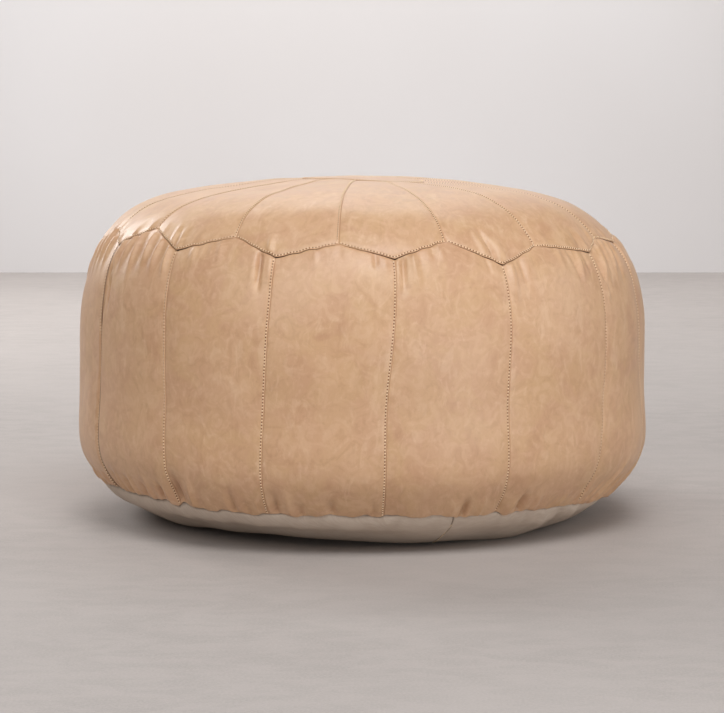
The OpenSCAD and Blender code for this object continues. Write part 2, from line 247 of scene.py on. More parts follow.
class Fold:
    """A ridge (height over 0) or furrow that starts at a seam, runs away from it and fades. Sizes in mm."""

    def __init__(self, heading, length, width, height, slant=0.0, start=0.0):
        self.heading = math.radians(heading)
        self.length, self.width, self.height = length * MM, width * MM, height * MM
        self.slant, self.start = slant, start * MM

    def lift(self, heading, radius, away):
        """Height at places this far away from the seam."""
        run = away - self.start
        side = (np.remainder(heading - self.heading + np.pi, 2 * np.pi) - np.pi) * radius - self.slant * run
        t = run / self.length
        width = self.width * (0.75 + 0.6 * np.clip(t, 0, 1))
        ridge = 1.3 * np.exp(-((np.abs(side) / width) ** 1.5))
        shape = ridge - 0.4 * np.exp(-((side / (2.2 * width)) ** 2))
        return self.height * shape * smooth(-0.02, 0.1, t) * (1 - smooth(0.3, 1, t))


def folds(*rows):
    return [Fold(*row) for row in rows]


def gathers(seed, step, length, width, height, skip):
    """Seeded folds all round a seam, except between the two headings in skip."""
    rng = np.random.default_rng(seed)
    found, at = [], -180.0
    while at < 180:
        at += step * rng.uniform(0.45, 1.6)
        size = rng.uniform(0.3, 1) ** 1.5
        fold = Fold(at, length * rng.uniform(0.5, 1.3), width * rng.uniform(0.7, 1.3),
                    height * size * rng.choice([1, 1, -0.9]), rng.normal(0, 0.12), rng.uniform(0, 3))
        if not skip[0] < at < skip[1]:
            found.append(fold)
    return found


# Below the zigzag seam: tight gathers on the left, single folds across the front.
below_zigzag = folds(
    (-78, 50, 4, 2.4), (-74.5, 55, 4, 2.6), (-71, 60, 4.5, 2.8), (-67.6, 50, 4, 2.4),
    (-62.2, 90, 3.6, -4.0, 0.1), (-62.6, 300, 1.5, -2.6), (-59.5, 46, 4.2, 2.4, -0.25),
    (-56.4, 44, 3.8, 2.4, -0.25), (-53.3, 62, 4.2, 2.8, -0.05), (-48.9, 56, 4, 2.6, -0.1),
    (-45.7, 48, 3.6, 2.2, -0.1), (-42.5, 44, 3.2, 2.2, -0.05), (-36, 34, 3.6, 1.0, 0.1),
    (-33, 26, 2.8, -0.8, 0.1), (-30, 40, 4, 0.8, 0.15), (-20.4, 50, 2.8, -4.2, 0.04),
    (-18.2, 40, 3.0, 1.6, 0.05), (-9, 30, 4, 0.6), (-4, 22, 3, -0.6), (3.0, 22, 2.6, -1.5),
    (5.0, 26, 2.6, 0.8), (8.6, 44, 2.8, -4.6, -0.05), (10.6, 50, 3.6, 1.7, 0.05),
    (14.5, 20, 2.8, -1.0, 0.2), (16.2, 22, 2.8, 0.9, 0.2), (26.2, 26, 3, -1.0),
    (31.6, 56, 3.4, 2.2, -0.1), (33.8, 50, 3.4, -1.5, 0.05), (36, 34, 3.4, 0.8), (45, 36, 4, 0.8),
    (48.4, 40, 3.2, -1.7, 0.1), (51, 42, 3.2, 2.0, -0.15), (53.4, 36, 2.8, -1.2),
    (58, 60, 3.6, -3.6, 0.1), (61, 66, 3.8, 2.2, -0.3), (64.4, 50, 3.4, -1.6, -0.3),
    (67.4, 60, 4, 1.6, -0.35), (70.4, 58, 4, -1.8, -0.35),
) + gathers(31, 4.2, 42, 4.0, 2.2, skip=(-82, 73))

# Above it, the crown is drawn up a little by the same gathers.
above_zigzag = folds(
    (-74, 26, 4, 1.4), (-69, 28, 4, 1.5), (-64, 24, 4, 1.3), (-58, 22, 4, 1.2), (-53, 22, 4, 1.1),
    (-47, 20, 4, 1.0), (-42.6, 30, 3.0, 1.6), (-40.4, 32, 2.8, 1.5), (-18.6, 26, 2.8, 2.0),
    (16, 26, 3.4, 0.8), (18.4, 30, 3, -0.8), (26.4, 40, 3.2, 1.1, -0.1), (28.6, 46, 3.0, -3.4, -0.16),
    (30.8, 40, 3.2, 1.5, -0.12), (33.2, 26, 3, -1.0), (43, 30, 4, 0.7), (53.5, 34, 3.6, -1.1),
    (56, 34, 3.6, 0.9),
) + gathers(32, 6.5, 24, 4.0, 1.4, skip=(-80, 60))

# Above the hem: many short gathers at the lower left, single deep ones across the front, tucks on the right.
above_hem = folds(
    (-65.5, 26, 3.8, -2.9), (-62.6, 34, 3, 2), (-60, 32, 3.8, -3.5, 0.1), (-57.4, 36, 3, 2),
    (-54.8, 31, 3.8, -3.5, 0.1), (-52.4, 36, 3, 2), (-49.8, 27, 3.5, -3.2, 0.15), (-47.2, 34, 3, 1.8),
    (-44.0, 31, 3.8, -3.5, 0.1), (-41.8, 28, 2.8, 1.2), (-38.6, 46, 6.8, -5, -0.02),
    (-35.4, 46, 4.2, 1.9, 0.1), (-26, 39, 4, -2.6), (-23.0, 22, 2.8, -1.9), (-20.8, 30, 3, 1),
    (-17.2, 37, 4.2, -3.7, 0.04), (-14.2, 40, 3.6, 1.6), (-12.2, 22, 3.8, -2.3), (-8.4, 26, 3, 0.8),
    (-6.2, 26, 5.2, -2.7), (-0.5, 22, 3.4, 0.9), (2.2, 30, 2.6, -1.8, -0.1), (9.5, 24, 4, 0.8),
    (14, 20, 3, -0.8), (17.6, 34, 3.6, 1.5), (20.0, 32, 3.5, -5, 0.06), (23.4, 34, 3.8, 1.6),
    (27.6, 26, 3.2, -1.4), (30.4, 30, 3.2, 1), (33.0, 34, 5, -4.7, -0.05), (36.6, 36, 3.8, 1.7),
    (41, 24, 3.4, -1.2, 0.3), (44, 30, 3.6, 1.2, 0.3), (49, 44, 3.2, 1.6, 0.5),
    (52.6, 42, 4, -2.4, 0.55), (56.4, 70, 4.6, 2.6, 0.6), (62.5, 51, 5.5, -4.3, 0.35),
    (69, 80, 5, 2.6, 0.5), (74.5, 60, 6.2, -4.7, 0.3),
) + gathers(33, 4.6, 36, 3.6, 2.8, skip=(-68, 80))

swell, SWELL_H = field(41, 24, 0.19), 0.0011
ripple, RIPPLE_H = field(42, 30, 0.055), 0.00022


def near(found, heading, radius, away):
    """Height of all the folds beside a seam, at places this far away from it."""
    total = np.zeros_like(away)
    for fold in found:
        total += fold.lift(heading, radius, away)
    return total


BELLY, WAIST, CROWN_SAG, FOOT_TUCK = 0.0028, 0.001, 0.003, 0.004


def settled(heading, arc):
    """How far the stuffing has moved the cover: a fuller belly, and on the right a lower crown and foot."""
    z = np.interp(arc, ARC, OUT_Z) / HEIGHT
    to_right = radius_at(arc) * np.sin(heading) / RADIUS
    belly = BELLY * np.exp(-(((z - 0.26) / 0.1) ** 2)) * smooth(0.12, 0.2, z)
    waist = WAIST * smooth(0.12, 0.3, z) * smooth(0.7, 0.4, z)
    crown = CROWN_SAG * smooth(0.3, 0.55, to_right) * smooth(0.72, 0.88, z)
    foot = FOOT_TUCK * smooth(0.7, 0.9, to_right) * smooth(0.2, 0.1, z)
    return belly + waist - crown - foot


def gathered(heading, arc):
    """Height of the folds beside the zigzag seam and the hem."""
    radius = radius_at(arc)
    to_zigzag = arc - zigzag_arc(heading)
    total = np.where(to_zigzag > 0, near(below_zigzag, heading, radius, to_zigzag), 0)
    total += np.where(to_zigzag <= 0, near(above_zigzag, heading, radius, -to_zigzag), 0)
    return total + near(above_hem, heading, radius, hem_arc(heading) - arc)


def cover_height(heading, arc, gain=1.0):
    """Height of the leather over the plain outline, apart from the laps at its seams."""
    place = on_cover(heading, arc)
    plain = SWELL_H * swell(place) + RIPPLE_H * ripple(place) + settled(heading, arc)
    return plain + gain * gathered(heading, arc)


def profile(*points):
    """Heights by distance from an edge, given in millimetres."""
    return np.array(points) * MM


# Height of the leather beside a seam: the piece on top turns its edge down and is pinched by its stitches,
# and the piece below slopes under that edge. The crown's edge is thicker and stands off more.
ON_TOP = profile((0, -0.42), (0.12, -0.16), (0.35, 0), (0.8, 0.08), (1.6, -0.14), (2.4, 0.05),
                 (3.4, 0.12), (5, 0.15), (8, 0.1), (14, 0))
UNDER = profile((-4, -1.9), (-0.6, -1.6), (0, -0.6), (0.25, -0.2), (0.6, -0.05), (1.4, 0), (4, 0))
CROWN_EDGE = profile((0, -0.8), (0.12, -0.3), (0.35, 0.05), (0.8, 0.2), (1.6, -0.05), (2.4, 0.15),
                     (3.4, 0.25), (5, 0.3), (8, 0.15), (14, 0))
UNDER_CROWN = profile((-4, -2.1), (-0.6, -1.9), (0, -1.2), (0.3, -0.65), (0.8, -0.3), (2.4, -0.12),
                      (5, -0.05), (14, 0))
HEM_EDGE = profile((0, -1.5), (0.25, -0.7), (0.7, -0.1), (1.4, 0.1), (3, 0.05), (6, 0))


def beside(heights, distance):
    return np.interp(distance, heights[:, 0], heights[:, 1])


def pillow(distance, depth, width):
    """The dip that a seam pulls into the stuffed cover."""
    return -depth * np.exp(-np.maximum(distance, 0) / width)


# ---- Meshes ----

def add_object(name, data):
    found = bpy.data.objects.new(name, data)
    bpy.context.collection.objects.link(found)
    return found


def add_mesh(name, points, faces, smooth_faces=True):
    """A new object from points and faces."""
    mesh = bpy.data.meshes.new(name)
    mesh.from_pydata(points, [], faces)
    mesh.polygons.foreach_set("use_smooth", np.full(len(mesh.polygons), smooth_faces))
    return add_object(name, mesh)


def tube_faces(rings, around):
    """The faces of a tube whose points run round one ring after the other."""
    index = np.arange(rings * around).reshape(rings, around)
    turned = np.roll(index, -1, axis=1)
    return np.stack([index[:-1], index[1:], turned[1:], turned[:-1]], axis=-1).reshape(-1, 4).tolist()


def grid_mesh(name, thickness, outer, uv, shade):
    """A closed piece of sheet from a grid of outer points. shade holds a value of painted shade per point,
    which its material mixes in.
    """
    rows, columns = outer.shape[:2]
    down = np.gradient(outer, axis=0)
    across = np.gradient(outer, axis=1)
    normal = np.cross(across, down)
    normal /= np.linalg.norm(normal, axis=2)[..., None] + TINY
    flip = np.mean(np.sum(normal * (outer - np.array([0, 0, 0.4 * HEIGHT])), axis=2)) < 0
    inner = outer - thickness * (-normal if flip else normal)
    points = np.concatenate([outer.reshape(-1, 3), inner.reshape(-1, 3)])
    index = np.arange(rows * columns).reshape(rows, columns)
    a, b, c, d = index[:-1, :-1], index[:-1, 1:], index[1:, 1:], index[1:, :-1]
    front = np.stack([a, d, c, b], axis=-1).reshape(-1, 4)
    back = np.stack([a, b, c, d], axis=-1).reshape(-1, 4) + rows * columns
    edge = np.concatenate([index[0, :], index[1:, -1], index[-1, -2::-1], index[-2:0:-1, 0]])
    following = np.roll(edge, -1)
    rim = np.stack([edge, following, following + rows * columns, edge + rows * columns], axis=-1)
    faces = np.concatenate([front, back, rim])
    if flip:
        faces = faces[:, ::-1]
    found = add_mesh(name, points, faces.tolist())
    mesh = found.data
    corners = np.zeros(len(mesh.loops), np.int32)
    mesh.loops.foreach_get("vertex_index", corners)
    both = np.concatenate([uv.reshape(-1, 2)] * 2)
    layer = mesh.uv_layers.new(name="chart")
    layer.data.foreach_set("uv", both[corners].ravel())
    attribute = mesh.attributes.new("shade", "FLOAT", "POINT")
    attribute.data.foreach_set("value", np.concatenate([shade.ravel()] * 2).astype(np.float32))
    mesh.validate()
    return found


def spread(start, end, middle):
    """Grid lines over a panel as (share, offset): fixed distances near both edges, even steps between."""
    m = (np.arange(middle) + 1) / (middle + 1)
    shares = np.concatenate([np.zeros(len(start)), m, np.ones(len(end))])
    offsets = np.concatenate([start, start[-1] * (1 - m) - end[-1] * m, -end[::-1]])
    return shares, offsets


# Distances from an edge at which the grids have lines of points.
TOP_EDGE = np.array([0, 0.12, 0.35, 0.8, 1.6, 2.4, 3.4, 5, 6.8, 9]) * MM
UNDER_EDGE = np.array([-4, -0.6, 0, 0.3, 0.8, 2.4, 4, 6, 9]) * MM


def crack(top_distance, under_distance=1.0):
    """Painted shade: 1 in the crack of a seam, falling to 0 just beside it."""
    return np.maximum(1 - smooth(0, 0.0002, top_distance), 1 - smooth(-0.0003, 0.0002, under_distance))


# Strength of the shade painted into the cracks of the side, crown and medallion seams, and into the zigzag
# seam's crack.
SIDE_CRACK_SHADE = 0.12
ZIGZAG_CRACK_SHADE = 1.0


def zigzag_square(heading):
    """How much nearer the zigzag is than straight up or down the outline, because it slopes."""
    step = 1e-3
    slope = (zigzag_arc(heading + step) - zigzag_arc(heading - step)) / (2 * step * radius_at(PEAK_ARC))
    return 1 / np.sqrt(1 + np.clip(slope, -0.6, 0.6) ** 2)


class Ring:
    """What both rings of panels share. edges are distances to a panel's left, right, top and bottom."""

    @classmethod
    def distances(cls, heading, arc, left, right):
        radius = radius_at(arc)
        top, bottom = cls.ends(heading)
        square = zigzag_square(heading)
        to_top, to_bottom = arc - top, bottom - arc
        if cls.zigzag_above:
            to_top = to_top * square
        else:
            to_bottom = to_bottom * square
        return (heading - left) * radius, (right - heading) * radius, to_top, to_bottom

    @classmethod
    def soft(cls, heading, arc, edges, gain=1.0):
        """Height of the leather without its laps, with the pillow shape that its seams give it."""
        height = cover_height(heading, arc, gain)
        for edge, (depth, width) in zip(edges, cls.pillows):
            height = height + pillow(edge, depth, width)
        return height

    @classmethod
    def lap_height(cls, edges):
        left, right, top, bottom = edges
        height = np.minimum(beside(UNDER, left), beside(cls.under_top, top))
        return height + beside(ON_TOP, right) * smooth(-0.004, 0.002, top) + beside(cls.foot, bottom)


class SidePanels(Ring):
    """The upright panels. Panel k runs from side seam k to the next one and from the zigzag to the hem."""

    grid = (62, 88)
    cloth_grid = (33, 71)
    low_edge = np.array([0, 0.25, 0.7, 1.4, 3, 5, 7, 10]) * MM
    first_arc, last_arc = VALLEY_ARC, ARC_HEM
    zigzag_above = True
    under_top, foot = UNDER_CROWN, HEM_EDGE
    pillows = ((0.0013, 0.011), (0.0013, 0.011), (0.0012, 0.016), (0.0018, 0.014))

    @staticmethod
    def sides(k, arc):
        return seam_heading(k, arc), seam_heading(k + 1, arc)

    @staticmethod
    def ends(heading):
        return zigzag_arc(heading), hem_arc(heading)

    # Painted shade in the cracks of the side seams and the zigzag seam.
    @staticmethod
    def cracks(edges):
        left, right, top, _ = edges
        return np.maximum(SIDE_CRACK_SHADE * crack(right, left), ZIGZAG_CRACK_SHADE * crack(1, top))


class CrownPanels(Ring):
    """The crown's panels. Panel k lies between the seams to peaks k - 1 and k and ends at valley k."""

    grid = (44, 74)
    cloth_grid = (25, 57)
    low_edge = TOP_EDGE
    first_arc, last_arc = ARC_MEDALLION, PEAK_ARC
    zigzag_above = False
    under_top, foot = UNDER, CROWN_EDGE
    pillows = ((0.0011, 0.011), (0.0011, 0.011), (0.0012, 0.012), (0.0012, 0.016))

    @staticmethod
    def sides(k, arc):
        return peak_heading(k - 1, arc), peak_heading(k, arc)

    @staticmethod
    def ends(heading):
        return ARC_MEDALLION, zigzag_arc(heading)

    # Painted shade in the cracks of the crown seams and the zigzag seam.
    @staticmethod
    def cracks(edges):
        left, right, top, bottom = edges
        seams = SIDE_CRACK_SHADE * crack(right, np.minimum(left, top))
        return np.maximum(seams, ZIGZAG_CRACK_SHADE * crack(bottom))


def place(ring, k, column, row):
    """Headings and arcs on panel k, and its side seams' headings. column and row are (share, offset)."""
    share_x, off_x = column
    share_y, off_y = row
    arc = ring.first_arc + (ring.last_arc - ring.first_arc) * share_y + off_y
    for _ in range(3):
        left, right = ring.sides(k, arc)
        heading = left + (right - left) * share_x + off_x / radius_at(arc)
        top, bottom = ring.ends(heading)
        arc = top + (bottom - top) * share_y + off_y
    return heading, arc, left, right


def stuff(ring):
    """Blows the panels of a ring out on their stuffing as cloth that is held by its seams. Gives how far each
    point of each panel's cloth grid lies from the plain outline."""
    across, down = ring.cloth_grid
    column = (np.linspace(0, 1, across)[None, :], np.zeros((1, across)))
    row = (np.linspace(0, 1, down)[:, None], np.zeros((down, 1)))
    plain, start, full = [], [], []
    for k in range(PANELS):
        heading, arc, left, right = place(ring, k, column, row)
        edges = ring.distances(heading, arc, left, right)
        plain.append(on_cover(heading, arc))
        start.append(on_cover(heading, arc, ring.soft(heading, arc, edges, CLOTH_START)))
        full.append(on_cover(heading, arc, ring.soft(heading, arc, edges, CLOTH_FULLNESS)))
    plain, start, full = (np.array(v).reshape(-1, 3) for v in (plain, start, full))
    index = np.arange(PANELS * down * across).reshape(PANELS, down, across)
    corners = (index[:, :-1, :-1], index[:, 1:, :-1], index[:, 1:, 1:], index[:, :-1, 1:])
    cloth = add_mesh("cloth", start, np.stack(corners, axis=-1).reshape(-1, 4).tolist(), False)
    cloth.shape_key_add(name="Basis")
    key = cloth.shape_key_add(name="full")
    key.data.foreach_set("co", full.ravel())
    held = cloth.vertex_groups.new(name="seams")
    rim = np.ones((down, across), bool)
    rim[1:-1, 1:-1] = False
    held.add(index[:, rim].ravel().tolist(), 1.0, "REPLACE")
    modifier = cloth.modifiers.new("stuffing", "CLOTH")
    modifier.settings.rest_shape_key = key
    modifier.settings.effector_weights.gravity = 0
    for name, value in CLOTH.items():
        setattr(modifier.settings, name, value)
    scene = bpy.context.scene
    modifier.point_cache.frame_start, modifier.point_cache.frame_end = 1, CLOTH_FRAMES
    for frame_number in range(1, CLOTH_FRAMES + 1):
        scene.frame_set(frame_number)
    blown = cloth.evaluated_get(bpy.context.evaluated_depsgraph_get()).to_mesh()
    found = np.zeros(start.size)
    blown.vertices.foreach_get("co", found)
    found = found.reshape(-1, 3)
    bpy.data.objects.remove(cloth)
    scene.frame_set(1)
    moved = found - start
    far = np.linalg.norm(moved, axis=1)[:, None]
    moved *= np.minimum(1, CLOTH_LIMIT / np.maximum(far, TINY))
    return (start + moved - plain).reshape(PANELS, down, across, 3)


def sample(values, share_x, share_y):
    """Values of a panel's grid at shares of its width and height, on a smooth curve through its points."""
    rows, columns = values.shape[:2]
    x = np.clip(share_x, 0, 1) * (columns - 1)
    y = np.clip(share_y, 0, 1) * (rows - 1)
    i, j = np.minimum(x.astype(int), columns - 2), np.minimum(y.astype(int), rows - 2)

    def weights(t):
        return (-0.5 * t + t**2 - 0.5 * t**3, 1 - 2.5 * t**2 + 1.5 * t**3, 0.5 * t + 2 * t**2 - 1.5 * t**3,
                -0.5 * t**2 + 0.5 * t**3)

    wx, wy = weights(x - i), weights(y - j)
    total = 0
    for m in range(4):
        for n in range(4):
            at = values[np.clip(j + m - 1, 0, rows - 1), np.clip(i + n - 1, 0, columns - 1)]
            total = total + (wy[m] * wx[n])[..., None] * at
    return total


CLOTH = {
    "vertex_group_mass": "seams", "quality": 6, "mass": 0.4, "tension_stiffness": 40,
    "compression_stiffness": 40, "shear_stiffness": 20, "bending_stiffness": 1.2,
    "use_pressure": True, "uniform_pressure_force": 2.5,
}
CLOTH_START, CLOTH_FULLNESS = 1.0, 2.4  # share of the folds' and pillows' height at the start and in the cut
CLOTH_FRAMES = 16
CLOTH_LIMIT = 0.005
CREASE = 0.6  # share of each fold that is pressed into the leather and doesn't blow out
# FURROW_SHADE: strength of the shade painted into the gathers' furrows.
FURROW_SHADE = 0.2
# The seam between side panels 12 and 13 gapes a little; a line of painted shade, OPEN_SHADE strong, darkens
# its gap.
OPEN_SEAM = {12: 1, 13: 0}  # panels beside the seam that gapes a little, and their edge on it
OPEN_SHADE = 0.8
RINGS = {"side": SidePanels, "crown": CrownPanels}
stuffed = {ring: stuff(ring) for ring in RINGS.values()}


def leather(ring, k, column, row, out=0.0):
    """Points of the leather's outer face on panel k, with their chart places and seam shade."""
    heading, arc, left, right = place(ring, k, column, row)
    edges = ring.distances(heading, arc, left, right)
    lap, shade = ring.lap_height(edges), ring.cracks(edges)
    if stuffed:
        top, bottom = ring.ends(heading)
        share_x, share_y = (heading - left) / (right - left), (arc - top) / (bottom - top)
        moved = sample(stuffed[ring][k], share_x, share_y)
        points = on_cover(heading, arc, lap + out + CREASE * gathered(heading, arc)) + moved
    else:
        points = on_cover(heading, arc, lap + out + ring.soft(heading, arc, edges))
    uv = np.stack([(heading - left) * radius_at(arc), arc + 20 * (ring is CrownPanels)], axis=-1)
    # Painted shade in the furrows of the gathers, darker where they run deeper.
    furrow = FURROW_SHADE * smooth(0.0004, 0.0045, -gathered(heading, arc))
    # Painted shade along the gaping seam.
    if ring is SidePanels and k in OPEN_SEAM:
        shade = np.maximum(shade, OPEN_SHADE * (1 - smooth(0, 0.0015, edges[OPEN_SEAM[k]])))
    return points, uv + np.array([0.41, 0.63]) * k, np.maximum(shade, furrow)


def panel(ring, k):
    across, down = ring.grid
    columns, rows = spread(UNDER_EDGE, TOP_EDGE, across), spread(UNDER_EDGE, ring.low_edge, down)
    return leather(ring, k, tuple(v[None, :] for v in columns), tuple(v[:, None] for v in rows))


def full_turn(arcs, around):
    """Headings and arcs of a grid that goes once round the pouf."""
    return np.meshgrid(np.linspace(-np.pi, np.pi, around), arcs)


def medallion_height(heading, arc):
    from_edge = ARC_MEDALLION - arc
    height = cover_height(heading, arc) + pillow(from_edge, 0.0012, 0.012) + beside(ON_TOP, from_edge)
    return height, from_edge


def medallion():
    """The round piece, as a grid whose rows run from a pinhole in its middle to its edge."""
    shares, offsets = spread(np.array([0.0002]), TOP_EDGE, 24)
    heading, arc = full_turn(ARC_MEDALLION * shares + offsets, 193)
    height, from_edge = medallion_height(heading, arc)
    outer = on_cover(heading, arc, height)
    uv = np.stack([arc * np.sin(heading) + 8, arc * np.cos(heading) + 9], axis=-1)
    # Painted shade in the crack round the medallion.
    return outer, uv, SIDE_CRACK_SHADE * crack(from_edge)


# ---- Materials ----

class Nodes:
    """Short calls for building a material's node tree."""

    def __init__(self, name):
        self.material = bpy.data.materials.new(name)
        self.material.use_nodes = True
        self.tree = self.material.node_tree
        self.shader = self.tree.nodes["Principled BSDF"]

    def add(self, kind, **settings):
        node = self.tree.nodes.new(kind)
        for key, value in settings.items():
            setattr(node, key, value)
        return node

    def link(self, source, target):
        self.tree.links.new(source, target)

    def coords(self, kind, scale=(1, 1, 1)):
        found = self.add("ShaderNodeMapping")
        found.inputs["Scale"].default_value = scale
        self.link(self.add("ShaderNodeTexCoord").outputs[kind], found.inputs["Vector"])
        return found.outputs["Vector"]

    def put(self, socket, value):
        """Gives a socket a number or a colour, or links it to another node's output."""
        if isinstance(value, (int, float)):
            socket.default_value = value
        elif isinstance(value, tuple):
            socket.default_value = (*value, 1)
        else:
            self.link(value, socket)

    def noise(self, vector, scale, detail=3, roughness=0.5, distortion=0.0):
        node = self.add("ShaderNodeTexNoise")
        for name, value in (("Scale", scale), ("Detail", detail), ("Roughness", roughness),
                            ("Distortion", distortion), ("Vector", vector)):
            self.put(node.inputs[name], value)
        return node.outputs["Fac"]

    def math(self, operation, a, b=0.0):
        node = self.add("ShaderNodeMath", operation=operation)
        self.put(node.inputs[0], a)
        self.put(node.inputs[1], b)
        return node.outputs[0]

    def remap(self, value, low, high, to_low=0.0, to_high=1.0):
        node = self.add("ShaderNodeMapRange", interpolation_type="SMOOTHSTEP")
        for name, number in (("From Min", low), ("From Max", high), ("To Min", to_low), ("To Max", to_high),
                             ("Value", value)):
            self.put(node.inputs[name], number)
        return node.outputs[0]

    def mix(self, factor, a, b):
        node = self.add("ShaderNodeMix", data_type="RGBA")
        for number, value in ((0, factor), (6, a), (7, b)):
            self.put(node.inputs[number], value)
        return node.outputs[2]

    def bump(self, height, strength, distance, below=None):
        node = self.add("ShaderNodeBump")
        for name, value in (("Strength", strength), ("Distance", distance), ("Height", height)):
            self.put(node.inputs[name], value)
        if below is not None:
            self.link(below, node.inputs["Normal"])
        return node.outputs["Normal"]

    def weave(self, vector, pitch):
        """-1 to 1, as the threads of a plain weave of this pitch stand up and down."""
        split = self.add("ShaderNodeSeparateXYZ")
        self.link(vector, split.inputs[0])
        turns = (self.math("MULTIPLY", split.outputs[i], 2 * math.pi / pitch) for i in (0, 1))
        return self.math("MULTIPLY", *(self.math("SINE", turn) for turn in turns))

    def attribute(self, name):
        return self.add("ShaderNodeAttribute", attribute_name=name).outputs["Fac"]

    def set(self, **values):
        for name, value in values.items():
            self.put(self.shader.inputs[name.replace("_", " ")], value)


def rgb(red, green, blue):
    """Linear colour from screen values of 0 to 255."""
    values = (red / 255, green / 255, blue / 255)
    return tuple(v / 12.92 if v <= 0.04 else ((v + 0.055) / 1.055) ** 2.4 for v in values)


def leather_material():
    m = Nodes("leather")
    fine = m.coords("UV")
    chart = m.coords("UV", (1, 0.55, 1))
    tall = m.coords("UV", (1, 0.42, 1))
    cloud = m.noise(fine, 11, 4, 0.55, 0.5)
    tint = m.noise(fine, 26, 4, 0.6, 0.8)
    patch = m.noise(fine, 58, 4, 0.6, 1.4)
    streak = m.noise(tall, 88, 3, 0.55, 1.0)
    some = m.remap(m.noise(fine, 21, 2, 0.5), 0.4, 0.6, 0.25, 1)
    colour = m.mix(m.remap(tint, 0.36, 0.64), rgb(204, 159, 124), rgb(209, 168, 127))
    colour = m.mix(m.remap(cloud, 0.32, 0.68, 0, 0.6), colour, rgb(217, 175, 138))
    colour = m.mix(m.remap(patch, 0.48, 0.62, 0, 0.32), colour, rgb(226, 188, 152))
    colour = m.mix(m.remap(patch, 0.46, 0.34, 0, 0.3), colour, rgb(189, 144, 108))
    pale = m.math("MULTIPLY", m.remap(streak, 0.54, 0.66, 0, 0.3), some)
    colour = m.mix(pale, colour, rgb(232, 197, 162))
    dark = m.math("MULTIPLY", m.remap(streak, 0.46, 0.34, 0, 0.2), some)
    colour = m.mix(dark, colour, rgb(184, 138, 102))
    # Pale scuffs: thin upright contour lines of one noise, broken up by another.
    warp = m.noise(tall, 26, 2, 0.5, 1.2)
    line = m.math("SUBTRACT", 1.0, m.math("MULTIPLY", m.math("ABSOLUTE", m.math("SUBTRACT", warp, 0.5)), 26))
    broken = m.remap(m.noise(fine, 60, 3, 0.5), 0.52, 0.66)
    scuff = m.math("MULTIPLY", m.math("MAXIMUM", line, 0.0), broken)
    colour = m.mix(m.math("MULTIPLY", scuff, 0.22), colour, rgb(238, 207, 174))
    fleck = m.noise(chart, 330, 3, 0.6)
    colour = m.mix(m.remap(fleck, 0.56, 0.72, 0, 0.14), colour, rgb(238, 207, 174))
    colour = m.mix(m.remap(fleck, 0.44, 0.3, 0, 0.12), colour, rgb(172, 126, 92))
    # Painted shade: seam cracks, furrows and the gaping seam darken towards this brown.
    colour = m.mix(m.attribute("shade"), colour, rgb(84, 44, 26))
    normal = m.bump(m.noise(fine, 1500, 3, 0.6), 0.25, 0.00012)
    normal = m.bump(fleck, 0.2, 0.0003, normal)
    normal = m.bump(streak, 0.06, 0.0008, normal)
    normal = m.bump(patch, 0.1, 0.0015, normal)
    rough = m.remap(patch, 0.3, 0.7, 0.4, 0.48)
    rough = m.math("ADD", rough, m.math("MULTIPLY", scuff, 0.12))
    m.set(Base_Color=colour, Roughness=rough, Normal=normal, Specular_IOR_Level=0.65)
    return m.material


CANVAS_PITCH = 0.0011


def canvas_material():
    m = Nodes("canvas")
    chart = m.coords("UV")
    weave = m.weave(chart, CANVAS_PITCH)
    slub = m.noise(m.coords("UV", (1, 0.12, 1)), 700, 2, 0.5)
    cloud = m.noise(chart, 22, 3, 0.5)
    colour = m.mix(m.remap(cloud, 0.3, 0.7), rgb(196, 178, 162), rgb(207, 190, 174))
    colour = m.mix(m.remap(slub, 0.35, 0.7, 0, 0.4), colour, rgb(219, 206, 191))
    colour = m.mix(m.remap(weave, -1, 1, 0, 0.2), colour, rgb(178, 160, 142))
    # Painted shade: the base seam and the edge under the hem darken towards this colour.
    colour = m.mix(m.attribute("shade"), colour, rgb(72, 60, 50))
    normal = m.bump(weave, 0.35, 0.0002)
    normal = m.bump(slub, 0.25, 0.0002, normal)
    m.set(Base_Color=colour, Roughness=0.9, Normal=normal, Specular_IOR_Level=0.2)
    return m.material


def thread_material():
    m = Nodes("thread")
    place = m.coords("Object")
    twist = m.noise(place, 2600, 2, 0.6)
    colour = m.mix(m.remap(twist, 0.3, 0.7), rgb(240, 208, 168), rgb(255, 234, 200))
    m.set(Base_Color=colour, Roughness=0.6, Normal=m.bump(twist, 0.4, 0.0001), Specular_IOR_Level=0.4)
    return m.material


# Dark beads laid on the leather between the stitches: painted shade of the needle holes, which are not cut.
def hole_shade_material():
    m = Nodes("needle_hole_shade")
    colour = m.mix(m.noise(m.coords("Object"), 900, 2), rgb(112, 62, 38), rgb(134, 80, 52))
    m.set(Base_Color=colour, Roughness=0.8, Specular_IOR_Level=0.2)
    return m.material


def brass_material():
    m = Nodes("zip_brass")
    place = m.coords("Object")
    wear = m.noise(place, 260, 3, 0.6)
    fine = m.noise(place, 2400, 2, 0.5)
    colour = m.mix(m.remap(wear, 0.35, 0.65), rgb(150, 112, 60), rgb(196, 156, 92))
    rough = m.remap(wear, 0.3, 0.7, 0.26, 0.42)
    m.set(Base_Color=colour, Metallic=1.0, Roughness=rough, Normal=m.bump(fine, 0.15, 0.00005))
    return m.material


def cloth_material(name, dark, light, pitch):
    m = Nodes(name)
    place = m.coords("Object")
    cloud = m.noise(place, 40, 3, 0.5)
    colour = m.mix(m.remap(cloud, 0.3, 0.7), dark, light)
    normal = m.bump(m.weave(place, pitch), 0.3, 0.0002)
    m.set(Base_Color=colour, Roughness=0.95, Normal=normal, Specular_IOR_Level=0.15)
    return m.material


LEATHER = leather_material()
CANVAS = canvas_material()
THREAD = thread_material()
HOLE_SHADE = hole_shade_material()


